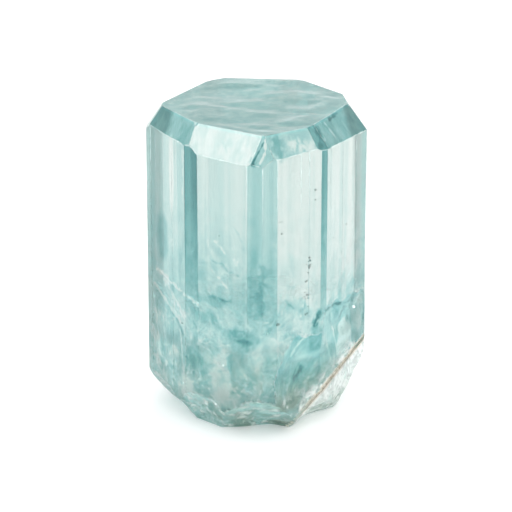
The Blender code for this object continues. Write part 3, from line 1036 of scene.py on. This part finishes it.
def line_group():
    """A soft line between two points, with a wandering course and ragged sides."""
    inputs = {
        "Place": ("Vector", None),
        "Wander": ("Vector", (0, 0, 0)),
        "Fullness": ("Float", 1.0),
        "Start": ("Vector", (0, 0, 0)),
        "Run": ("Vector", (1, 0, 0)),
        "Width": ("Float", 0.4),
        "Raggedness": ("Float", 0.5),
    }
    tree, given, out = new_group("line", inputs, {"Mask": "Float"})
    wander = add(tree, "ShaderNodeVectorMath", {0: given["Wander"], "Scale": given["Raggedness"]}, operation="SCALE").outputs[0]
    offset = vector(tree, "ADD", vector(tree, "SUBTRACT", given["Place"], given["Start"]), wander)
    along = add(tree, "ShaderNodeVectorMath", {0: offset, 1: given["Run"]}, operation="DOT_PRODUCT").outputs["Value"]
    square = add(tree, "ShaderNodeVectorMath", {0: given["Run"], 1: given["Run"]}, operation="DOT_PRODUCT").outputs["Value"]
    share = calculate(tree, "DIVIDE", along, square, clamp=True)
    nearest = add(tree, "ShaderNodeVectorMath", {0: given["Run"], "Scale": share}, operation="SCALE").outputs[0]
    distance = size_of(tree, vector(tree, "SUBTRACT", offset, nearest))
    width = calculate(tree, "MULTIPLY", given["Width"], given["Fullness"])
    tree.links.new(ramp(tree, calculate(tree, "DIVIDE", distance, width), 0.2, 1.0, 1.0, 0.0), out["Mask"])
    return tree


def tint_group():
    """The colour of beryl whose colour looks a given depth: the deeper, the bluer-green."""
    tree, given, out = new_group("tint", {"Depth": ("Float", 0.3)}, {"Color": "Color"})
    through = calculate(tree, "SUBTRACT", 0.955, calculate(tree, "MULTIPLY", given["Depth"], 0.84))
    through = calculate(tree, "MINIMUM", calculate(tree, "MAXIMUM", through, 0.08), 0.925)
    red = calculate(tree, "MULTIPLY", calculate(tree, "POWER", through, 2.0), 0.90)
    green = calculate(tree, "MULTIPLY", calculate(tree, "POWER", through, 0.84), 0.84)
    blue = calculate(tree, "MULTIPLY", calculate(tree, "POWER", through, 0.80), 0.81)
    tree.links.new(add(tree, "ShaderNodeCombineColor", {0: red, 1: green, 2: blue}).outputs[0], out["Color"])
    return tree


def new_material(name):
    """An empty material, its tree and its Principled shader."""
    material = bpy.data.materials.new(name)
    material.use_nodes = True
    return material, material.node_tree, material.node_tree.nodes["Principled BSDF"]


def place_in_millimetres(tree):
    """Object coordinates in millimetres."""
    place = add(tree, "ShaderNodeTexCoord").outputs["Object"]
    return add(tree, "ShaderNodeVectorMath", {0: place, 1: (1 / MM,) * 3}, operation="MULTIPLY").outputs[0]


def attribute(tree, name):
    """A face attribute's value."""
    return add(tree, "ShaderNodeAttribute", attribute_name=name).outputs["Fac"]


def is_region(tree, region, wanted):
    """1 on the faces of one region, 0 elsewhere."""
    return calculate(tree, "COMPARE", region, wanted, 0.25)


def beryl_material(finish, groups):
    """Clear beryl: see-through, tinted by facet, with painted shade and highlights, clouded at its foot, with
    absorption in its volume.
    """
    material, tree, shader = new_material("aquamarine_beryl")
    place = place_in_millimetres(tree)
    parts = add(tree, "ShaderNodeSeparateXYZ", {0: place}).outputs
    height = parts["Z"]
    region = attribute(tree, "region")
    broken, flaked, cracked = (is_region(tree, region, wanted) for wanted in (BROKEN, FLAKED, CRACKED))
    striae = use_group(tree, groups["striae"], Place=place)
    cloud = use_group(tree, groups["cloud"], Place=place)

    # Depth of colour: by face, then streaks, cloud, breaks and patches. Faces, patches and lines carry painted shade
    # and painted highlights.
    toward_end = ramp(tree, height, 22.0, 38.0)
    depth = blend_values(tree, toward_end, attribute(tree, "tone_and_shade_lower"), attribute(tree, "tone_and_shade_near_end"))
    depth = calculate(tree, "MULTIPLY_ADD", calculate(tree, "SUBTRACT", striae["Streak"], 0.5), 0.24, depth)
    haze = stretched_noise(tree, place, (0.45, 0.45, 0.32), 5.0, 0.62, 1.2)
    haze = calculate(tree, "MULTIPLY", calculate(tree, "SUBTRACT", haze, 0.5), ramp(tree, height, 24.0, 38.0, 0.7, 0.08))
    depth = calculate(tree, "ADD", depth, haze)
    clouded = ramp(tree, cloud["Mottle"], 0.0, 1.0, 0.58, 0.14)
    depth = blend_values(tree, calculate(tree, "MULTIPLY", cloud["Mask"], 0.85), depth, clouded)
    fine = stretched_noise(tree, place, (0.9, 0.9, 0.55), 5.0, 0.65, 0.6)
    fine = calculate(tree, "MULTIPLY", calculate(tree, "SUBTRACT", fine, 0.5), calculate(tree, "MULTIPLY", cloud["Mask"], 0.9))
    depth = calculate(tree, "ADD", depth, fine)
    crackle = use_group(tree, groups["crackle"], Place=place)
    lines = calculate(tree, "MULTIPLY", crackle["Lines"], cloud["Mask"])
    depth = calculate(tree, "MULTIPLY_ADD", lines, -0.30, depth)
    hackle = use_group(tree, groups["hackle"], Place=place, Origin=HACKLE_ORIGIN)
    on_break = ramp(tree, cloud["Mottle"], 0.0, 1.0, 0.60, 0.38)
    on_break = calculate(tree, "MULTIPLY_ADD", calculate(tree, "SUBTRACT", hackle["Streak"], 0.5), -0.9, on_break)
    depth = blend_values(tree, broken, depth, on_break)
    wander = add(tree, "ShaderNodeTexNoise", {"Vector": place, "Scale": 0.6, "Detail": 3.0}).outputs["Color"]
    wander = vector(tree, "SUBTRACT", wander, (0.5, 0.5, 0.5))
    swirl = add(tree, "ShaderNodeSeparateXYZ", {0: wander}).outputs["X"]
    fullness = ramp(tree, stretched_noise(tree, place, (1.2, 1.2, 1.2), 3.0, 0.6), 0.35, 0.6, 0.25, 1.0)
    # Patches and lines: painted shade where they deepen the colour, painted highlights where they pale it.
    for centre, reach, change, raggedness in PATCHES.values():
        facts = {"Centre": centre, "Reach": reach, "Raggedness": raggedness}
        patch = use_group(tree, groups["patch"], Place=place, Swirl=swirl, **facts)
        depth = calculate(tree, "MULTIPLY_ADD", patch["Mask"], change, depth)
    for start, end, width, change, raggedness in LINES.values():
        facts = {"Start": start, "Run": tuple(Vector(end) - Vector(start)), "Width": width, "Raggedness": raggedness}
        line = use_group(tree, groups["line"], Place=place, Wander=wander, Fullness=fullness, **facts)
        depth = calculate(tree, "MULTIPLY_ADD", line["Mask"], change, depth)
    # On the end face: mottling and pale strokes, painted reflections and glints of its low waves.
    end_face = ramp(tree, height, HEIGHT - 0.4, HEIGHT - 0.2)
    swell = stretched_noise(tree, place, (0.65, 1.25, 0.6), 5.0, 0.65, 1.4)
    crest_glints = calculate(tree, "MULTIPLY", ramp(tree, swell, 0.56, 0.61), -0.20)
    swell = calculate(tree, "MULTIPLY_ADD", calculate(tree, "SUBTRACT", swell, 0.5), 0.85, crest_glints)
    depth = calculate(tree, "MULTIPLY_ADD", end_face, swell, depth)
    # Pale flecks low on the crystal, painted highlights on its foot.
    foot_glints = stretched_noise(tree, place, (1.2, 1.2, 1.2), 4.0, 0.6, 0.3)
    foot_glints = calculate(tree, "MULTIPLY", ramp(tree, foot_glints, 0.53, 0.62), ramp(tree, height, 6.0, 12.0, -0.48, 0.0))
    depth = calculate(tree, "ADD", depth, foot_glints)
    tint = use_group(tree, groups["tint"], Depth=depth)["Color"]
    # Painted shade at the foot: the lowest few millimetres, and the breaks a little higher, turn dark green toward the
    # floor, more on the right.
    stain = calculate(tree, "MULTIPLY", ramp(tree, height, 1.5, 7.5, 0.95, 0.0), ramp(tree, cloud["Mottle"], 0.0, 0.8, 1.0, 0.35))
    stain = calculate(tree, "MULTIPLY", stain, ramp(tree, parts["X"], -9.0, 1.0, 0.35, 1.0))
    foot_break_shade = calculate(tree, "MULTIPLY", broken, ramp(tree, height, 4.0, 11.0, 0.85, 0.0))
    foot_break_shade = calculate(tree, "MULTIPLY", foot_break_shade, ramp(tree, parts["X"], -9.0, 1.0, 0.30, 1.0))
    foot_break_shade = calculate(tree, "MULTIPLY", foot_break_shade, ramp(tree, cloud["Mottle"], 0.2, 0.9, 1.0, 0.3))
    foot_shade_color = blend_colors(tree, ramp(tree, height, 0.4, 3.6), (0.12, 0.17, 0.11, 1), (0.25, 0.34, 0.24, 1))
    bluer = calculate(tree, "MAXIMUM", end_face, calculate(tree, "MULTIPLY", broken, 0.85))
    bluer = calculate(tree, "MAXIMUM", bluer, calculate(tree, "MULTIPLY", cloud["Mask"], 0.35))
    bluer = calculate(tree, "MAXIMUM", bluer, ramp(tree, parts["X"], 14.6, 15.4))
    tint = add(tree, "ShaderNodeMix", {0: bluer, 6: tint, 7: (0.88, 1.12, 1.13, 1)}, data_type="RGBA",
               blend_type="MULTIPLY").outputs[2]
    # Blends in the painted shade at the foot.
    tint = blend_colors(tree, calculate(tree, "MAXIMUM", stain, foot_break_shade), tint, foot_shade_color)
    tint = blend_colors(tree, flaked, tint, (0.90, 0.96, 0.94, 1))
    tint = blend_colors(tree, cracked, tint, (0.82, 0.72, 0.58, 1))
    tree.links.new(tint, shader.inputs["Base Color"])

    rough = blend_values(tree, cloud["Mask"], 0.03, 0.20)
    rough = blend_values(tree, end_face, rough, 0.08)
    rough = blend_values(tree, broken, rough, 0.24)
    rough = blend_values(tree, flaked, rough, 0.45)
    rough = blend_values(tree, cracked, rough, 0.8)
    tree.links.new(rough, shader.inputs["Roughness"])
    shader.inputs["Metallic"].default_value = 0.0
    shader.inputs["IOR"].default_value = finish.ior
    shader.inputs["Transmission Weight"].default_value = finish.clarity
    bump = add(tree, "ShaderNodeBump", {"Height": striae["Height"], "Strength": 0.15, "Distance": 0.0001})
    tree.links.new(bump.outputs[0], shader.inputs["Normal"])
    volume = add(tree, "ShaderNodeVolumeAbsorption")
    volume.inputs["Color"].default_value = (*finish.absorption_color, 1)
    volume.inputs["Density"].default_value = finish.absorption_density
    tree.links.new(volume.outputs["Volume"], tree.nodes["Material Output"].inputs["Volume"])
    return material


def frost_material(groups):
    """Crushed, white beryl on the flake, along the crack and in blotches on the other breaks, with painted shade on its
    chips and toward the floor.
    """
    material, tree, shader = new_material("frosted_beryl")
    place = place_in_millimetres(tree)
    height = add(tree, "ShaderNodeSeparateXYZ", {0: place}).outputs["Z"]
    flaked = is_region(tree, attribute(tree, FACE_MARKS[0]), FLAKED)
    offset = add(tree, "ShaderNodeVectorMath", {0: place, 1: tuple(CRACK_MOUTH)}, operation="SUBTRACT").outputs[0]
    below = add(tree, "ShaderNodeVectorMath", {0: offset, 1: tuple(CRACK_NORMAL)}, operation="DOT_PRODUCT").outputs["Value"]
    toward = add(tree, "ShaderNodeVectorMath", {0: place, 1: tuple(level(CRACK_OPENING))}, operation="DOT_PRODUCT").outputs["Value"]
    grain = stretched_noise(tree, place, (0.75, 0.75, 0.75), 5.0, 0.6, 0.3)
    broad = stretched_noise(tree, place, (0.42, 0.42, 0.42), 3.0, 0.55, 0.6)
    chips = add(tree, "ShaderNodeTexVoronoi", {"Vector": place, "Scale": 0.9, "Detail": 2.0, "Randomness": 1.0})
    chip = add(tree, "ShaderNodeSeparateColor", {0: chips.outputs["Color"]}).outputs[0]
    on_flake = calculate(tree, "MULTIPLY", flaked, ramp(tree, broad, 0.36, 0.62, 0.90, 0.35))
    near_crack = calculate(tree, "MULTIPLY", ramp(tree, below, -2.4, -0.2, 0.0, 0.95), ramp(tree, toward, 8.0, 11.0))
    near_crack = calculate(tree, "MULTIPLY", near_crack, ramp(tree, broad, 0.36, 0.62))
    near_crack = calculate(tree, "MULTIPLY", near_crack, ramp(tree, grain, 0.30, 0.52, 0.4, 1.0))
    foot = calculate(tree, "MULTIPLY", ramp(tree, height, 3.5, 9.0, 0.60, 0.0), ramp(tree, grain, 0.44, 0.68))
    alpha = calculate(tree, "MAXIMUM", calculate(tree, "MAXIMUM", on_flake, near_crack), foot)
    # The chips run from teal-grey to white: partly painted shade and light on the flake's small facets.
    color = blend_colors(tree, ramp(tree, chip, 0.2, 0.8), (0.55, 0.70, 0.66, 1), (0.86, 0.91, 0.89, 1))
    # Painted shade: darker green-grey toward the floor.
    low = ramp(tree, height, 1.0, 6.0, 0.80, 0.0)
    color = blend_colors(tree, calculate(tree, "MULTIPLY", low, ramp(tree, grain, 0.35, 0.6, 1.0, 0.3)), color, (0.34, 0.42, 0.34, 1))
    apart = calculate(tree, "ABSOLUTE", below)
    lips = calculate(tree, "MULTIPLY", ramp(tree, apart, 0.24, 0.58, 0.95, 0.0), ramp(tree, toward, 9.0, 11.0))
    lips = calculate(tree, "MULTIPLY", lips, ramp(tree, grain, 0.35, 0.6, 0.5, 1.0))
    lips = calculate(tree, "MULTIPLY", lips, ramp(tree, height, 1.5, 4.5))
    tree.links.new(calculate(tree, "MAXIMUM", alpha, lips), shader.inputs["Alpha"])
    color = blend_colors(tree, lips, color, (0.66, 0.59, 0.48, 1))
    tree.links.new(color, shader.inputs["Base Color"])
    shader.inputs["Roughness"].default_value = 0.5
    heights = calculate(tree, "MULTIPLY_ADD", chip, 0.6, grain)
    bump = add(tree, "ShaderNodeBump", {"Height": heights, "Strength": 0.7, "Distance": 0.0004})
    tree.links.new(bump.outputs[0], shader.inputs["Normal"])
    return material


def border_material(name, color, low, high, opacity, bare_below):
    """Pale ribbons beside an edge: bruised beryl beside the breaks, and painted highlights along the natural edges."""
    material, tree, shader = new_material(name)
    place = place_in_millimetres(tree)
    grain = stretched_noise(tree, place, (1.3, 1.3, 1.3), 4.0, 0.6, 0.3)
    height = add(tree, "ShaderNodeSeparateXYZ", {0: place}).outputs["Z"]
    present = ramp(tree, height, bare_below, bare_below + 12.0, 0.0, opacity)
    present = calculate(tree, "MULTIPLY", present, ramp(tree, grain, low, high))
    alpha = calculate(tree, "MULTIPLY", present, attribute(tree, "fade"))
    tree.links.new(alpha, shader.inputs["Alpha"])
    tree.links.new(blend_colors(tree, grain, (0.70, 0.90, 0.88, 1), (*color, 1)), shader.inputs["Base Color"])
    shader.inputs["Roughness"].default_value = 0.4
    return material


def stain_material():
    """Iron stain: beige to rust brown, matt and gritty."""
    material, tree, shader = new_material("iron_stain")
    place = place_in_millimetres(tree)
    grit = stretched_noise(tree, place, (2.2, 2.2, 2.2), 5.0, 0.65, 0.5)
    color = blend_colors(tree, ramp(tree, grit, 0.35, 0.65), (0.55, 0.49, 0.39, 1), (0.86, 0.82, 0.74, 1))
    height = add(tree, "ShaderNodeSeparateXYZ", {0: place}).outputs["Z"]
    color = blend_colors(tree, ramp(tree, height, 2.0, 4.5), (0.62, 0.72, 0.68, 1), color)
    tree.links.new(color, shader.inputs["Base Color"])
    shader.inputs["Roughness"].default_value = 0.85
    bump = add(tree, "ShaderNodeBump", {"Height": grit, "Strength": 0.5, "Distance": 0.0001})
    tree.links.new(bump.outputs[0], shader.inputs["Normal"])
    return material


def veil_material(name, color, fibre, low, high, glow):
    """A whitish healed crack: fine fibres and holes, fading toward its rim."""
    material, tree, shader = new_material(name)
    place = place_in_millimetres(tree)
    fibres = stretched_noise(tree, place, fibre, 5.0, 0.65, 0.8)
    alpha = calculate(tree, "MULTIPLY", ramp(tree, fibres, low, high), attribute(tree, "fade"))
    tree.links.new(alpha, shader.inputs["Alpha"])
    color = blend_colors(tree, fibres, (*[part * 0.8 for part in color], 1), (*color, 1))
    tree.links.new(color, shader.inputs["Base Color"])
    # Painted light: the emission makes the veils and the cloud glow a little.
    tree.links.new(color, shader.inputs["Emission Color"])
    shader.inputs["Emission Strength"].default_value = glow
    shader.inputs["Roughness"].default_value = 0.6
    shader.inputs["Specular IOR Level"].default_value = 0.1
    return material


def speck_material(name, dark, pale, glow):
    """Small grains, mottled between two colours; where given a glow, they glow with painted light."""
    material, tree, shader = new_material(name)
    place = place_in_millimetres(tree)
    grain = stretched_noise(tree, place, (4, 4, 4), 3.0, 0.6)
    color = blend_colors(tree, ramp(tree, grain, 0.4, 0.6), (*dark, 1), (*pale, 1))
    tree.links.new(color, shader.inputs["Base Color"])
    # Painted light: emission makes the bright specks glow.
    tree.links.new(color, shader.inputs["Emission Color"])
    shader.inputs["Emission Strength"].default_value = glow
    shader.inputs["Roughness"].default_value = 0.5
    return material


def effect_groups():
    """The node groups that the beryl's material uses. Each is built once."""
    makers = {
        "striae": striae_group,
        "cloud": cloud_group,
        "patch": patch_group,
        "line": line_group,
        "tint": tint_group,
        "hackle": hackle_group,
        "crackle": crackle_group,
    }
    return {name: bpy.data.node_groups.get(name) or make() for name, make in makers.items()}


# ---------------------------------------------------------------------------------------------- operators


class AQUAMARINE_OT_crystal(bpy.types.Operator):
    """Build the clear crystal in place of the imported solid"""

    bl_idname = "aquamarine.crystal"
    bl_label = "Crystal"

    def execute(self, context):
        shape, finish = context.scene.aquamarine_shape, context.scene.aquamarine_finish
        bm = bevelled_prism(shape)
        carve_end_face(bm, shape)
        mesh = broken_mesh(new_object("blank", bm, context.scene.collection), shape)
        if not mesh.polygons:
            raise RuntimeError("the breaks left nothing of the crystal")
        mark_faces(mesh)
        keep_in_box(mesh)
        mesh.shade_smooth()
        mesh.set_sharp_from_angle(angle=shape.sharp_angle)
        mesh.name = "crystal"
        mesh.materials.clear()
        mesh.materials.append(beryl_material(finish, effect_groups()))
        crystal = bpy.data.objects.new("crystal", mesh)
        crystal.location = AXIS * MM
        context.scene.collection.objects.link(crystal)
        ride(crystal)
        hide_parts(NODE)
        return {"FINISHED"}


def finish_piece(name, bm, material, context):
    """Turns a bmesh into a piece of the object, with its material, that rides with the crystal."""
    if not bm.faces:
        raise RuntimeError(f"{name} has no faces")
    piece = new_object(name, bm, context.scene.collection)
    piece.location = AXIS * MM
    keep_in_box(piece.data)
    piece.data.shade_smooth()
    piece.data.materials.append(material)
    ride(piece)
    return piece


class AQUAMARINE_OT_frosting(bpy.types.Operator):
    """Frost the flake, the crack's lips and the borders of the breaks, and paint highlights along the natural edges"""

    bl_idname = "aquamarine.frosting"
    bl_label = "Frosting"

    def execute(self, context):
        mesh = bpy.data.objects["crystal"].data
        finish_piece("frosted_breaks", broken_skin(mesh), frost_material(effect_groups()), context)
        borders = ribbons(mesh, beside_breaks, BREAK_BORDER, 0.9)
        frost = border_material("frosted_border", (0.93, 1.0, 0.99), 0.40, 0.66, 0.6, -12.0)
        finish_piece("frosted_borders", borders, frost, context)
        # Painted highlights along the natural edges, from 31 mm up: pale ribbons where one face meets another.
        corners = ribbons(mesh, beside_corners, FACET_BORDER, 0.6)
        highlight_finish = border_material("painted_edge_highlight", (0.95, 1.0, 1.0), 0.32, 0.58, 0.8, 31.0)
        finish_piece("painted_edge_highlights", corners, highlight_finish, context)
        finish_piece("iron_stain", crack_filling(mesh), stain_material(), context)
        return {"FINISHED"}


class AQUAMARINE_OT_veils(bpy.types.Operator):
    """Put the healed cracks and the cloud inside the crystal"""

    bl_idname = "aquamarine.veils"
    bl_label = "Veils and cloud"

    def execute(self, context):
        crystal = bpy.data.objects["crystal"].data
        bm = bmesh.new()
        bm.verts.layers.float.new("fade")
        for seed, facts in enumerate(VEILS):
            veil_sheet(bm, *facts, seed)
        keep_inside(bm, crystal, VEIL_MARGIN)
        veil = veil_material("veil", (0.90, 0.98, 1.0), (1.2, 1.2, 0.5), 0.36, 0.56, 0.30)
        finish_piece("veils", bm, veil, context)
        dice = random.Random(5)
        bm = bmesh.new()
        bm.verts.layers.float.new("fade")
        for seed in range(CLOUD_SHEETS):
            cloud_sheet(bm, dice, seed)
        keep_inside(bm, crystal, CLOUD_MARGIN)
        cloud = veil_material("cloud", (0.74, 0.97, 0.97), (0.45, 0.45, 0.45), 0.42, 0.60, 0.25)
        finish_piece("cloud", bm, cloud, context)
        return {"FINISHED"}


class AQUAMARINE_OT_grains(bpy.types.Operator):
    """Scatter the dark inclusions, the bright specks, which are painted glints, and the trail of bubbles"""

    bl_idname = "aquamarine.grains"
    bl_label = "Inclusions and specks"

    def execute(self, context):
        dice = random.Random(3)
        bm = bmesh.new()
        for seed, (place, size) in enumerate(INCLUSIONS):
            lump(bm, sunk(place, size + 0.04), size * 1.35, seed)
        for seed in range(TRAIL_BUBBLES):
            place = TRAIL[0].lerp(TRAIL[1], dice.random())
            stray = Vector((dice.uniform(-1, 1), dice.uniform(-0.6, 0.6), dice.uniform(-1, 1))) * TRAIL_STRAY
            lump(bm, sunk(place + stray, INCLUSION_SINK), dice.uniform(*TRAIL_SIZES), seed)
        dark = speck_material("inclusion", (0.10, 0.20, 0.20), (0.28, 0.43, 0.41), 0.0)
        finish_piece("inclusions", bm, dark, context)
        bm = bmesh.new()
        for seed, (place, size) in enumerate(SPECKS):
            lump(bm, sunk(place, size + SPECK_SINK), size, seed)
        bright = speck_material("bright_speck", (0.85, 0.95, 0.96), (1.0, 1.0, 1.0), 0.35)
        finish_piece("bright_specks", bm, bright, context)
        return {"FINISHED"}


class AQUAMARINE_OT_studio(bpy.types.Operator):
    """Set up the floor, the soft lights and the camera"""

    bl_idname = "aquamarine.studio"
    bl_label = "Studio"

    def execute(self, context):
        studio = context.scene.aquamarine_studio
        self.add_camera(context.scene, studio)
        self.add_floor(context.scene)
        self.add_lights(context.scene)
        return {"FINISHED"}

    def add_camera(self, scene, studio):
        camera = bpy.data.objects.new("camera", bpy.data.cameras.new("camera"))
        scene.collection.objects.link(camera)
        target = AXIS * MM + Vector((0, 0, studio.aim_height))
        back = facing(-90, math.degrees(studio.elevation))
        camera.location = target + back * studio.distance
        camera.rotation_euler = (-back).to_track_quat("-Z", "Y").to_euler()
        camera.data.lens = camera.data.sensor_width * studio.focal_pixels / studio.picture_pixels
        camera.data.clip_start = 0.01
        scene.camera = camera

    def add_floor(self, scene):
        bm = bmesh.new()
        bmesh.ops.create_grid(bm, x_segments=1, y_segments=1, size=3.0)
        floor = new_object("floor", bm, scene.collection)
        material, tree, shader = new_material("floor_paper")
        shader.inputs["Base Color"].default_value = (0.94, 0.94, 0.94, 1)
        shader.inputs["Roughness"].default_value = 0.9
        shader.inputs["Emission Color"].default_value = (1, 1, 1, 1)
        shader.inputs["Emission Strength"].default_value = 0.14
        floor.data.materials.append(material)
        floor.location.z = -0.00008

    def add_softbox(self, scene, name, direction, rise, distance, size, strength):
        light = bpy.data.lights.new(name, "AREA")
        light.shape = "SQUARE"
        light.size = size
        light.energy = strength * math.pi * size**2
        box = bpy.data.objects.new(name, light)
        scene.collection.objects.link(box)
        box.visible_diffuse = False
        out = facing(direction, rise)
        box.location = AXIS * MM + Vector((0, 0, 0.03)) + out * distance
        box.rotation_euler = out.to_track_quat("Z", "Y").to_euler()

    def add_lights(self, scene):
        world = bpy.data.worlds.new("studio")
        scene.world = world
        world.use_nodes = True
        world.node_tree.nodes["Background"].inputs["Color"].default_value = (1, 1, 1, 1)
        world.node_tree.nodes["Background"].inputs["Strength"].default_value = 1.30
        self.add_softbox(scene, "key_softbox", -154, 34, 0.6, 0.16, 2.6)
        scene.view_settings.view_transform = "Standard"
        scene.cycles.max_bounces = 24
        scene.cycles.transmission_bounces = 24
        scene.cycles.glossy_bounces = 16
        scene.cycles.diffuse_bounces = 6
        scene.cycles.transparent_max_bounces = 32


class AQUAMARINE_PT_panel(bpy.types.Panel):
    """Lists the pieces of the aquamarine crystal"""

    bl_idname = "AQUAMARINE_PT_panel"
    bl_label = "Aquamarine crystal"
    bl_space_type = "VIEW_3D"
    bl_region_type = "UI"
    bl_category = "Aquamarine"

    def draw(self, context):
        for operator in OPERATORS:
            self.layout.operator(operator.bl_idname)
        for group in SETTINGS:
            settings = getattr(context.scene, group)
            for name in settings.bl_rna.properties.keys():
                if name not in {"rna_type", "name"}:
                    self.layout.prop(settings, name)


SETTINGS = {
    "aquamarine_shape": CrystalShape,
    "aquamarine_finish": BerylFinish,
    "aquamarine_studio": StudioSetup,
}
OPERATORS = (
    AQUAMARINE_OT_crystal,
    AQUAMARINE_OT_frosting,
    AQUAMARINE_OT_veils,
    AQUAMARINE_OT_grains,
    AQUAMARINE_OT_studio,
)


def register():
    """Registers the settings, the operators and the panel."""
    for name, group in SETTINGS.items():
        bpy.utils.register_class(group)
        setattr(bpy.types.Scene, name, PointerProperty(type=group))
    for cls in (*OPERATORS, AQUAMARINE_PT_panel):
        bpy.utils.register_class(cls)


def unregister():
    """Takes away all that register added."""
    for cls in (AQUAMARINE_PT_panel, *reversed(OPERATORS)):
        bpy.utils.unregister_class(cls)
    for name, group in reversed(SETTINGS.items()):
        delattr(bpy.types.Scene, name)
        bpy.utils.unregister_class(group)


def main():
    """Builds the pieces and the stage."""
    register()
    bpy.ops.aquamarine.crystal()
    bpy.ops.aquamarine.frosting()
    bpy.ops.aquamarine.veils()
    bpy.ops.aquamarine.grains()
    bpy.ops.aquamarine.studio()


if __name__ == "__main__":
    main()
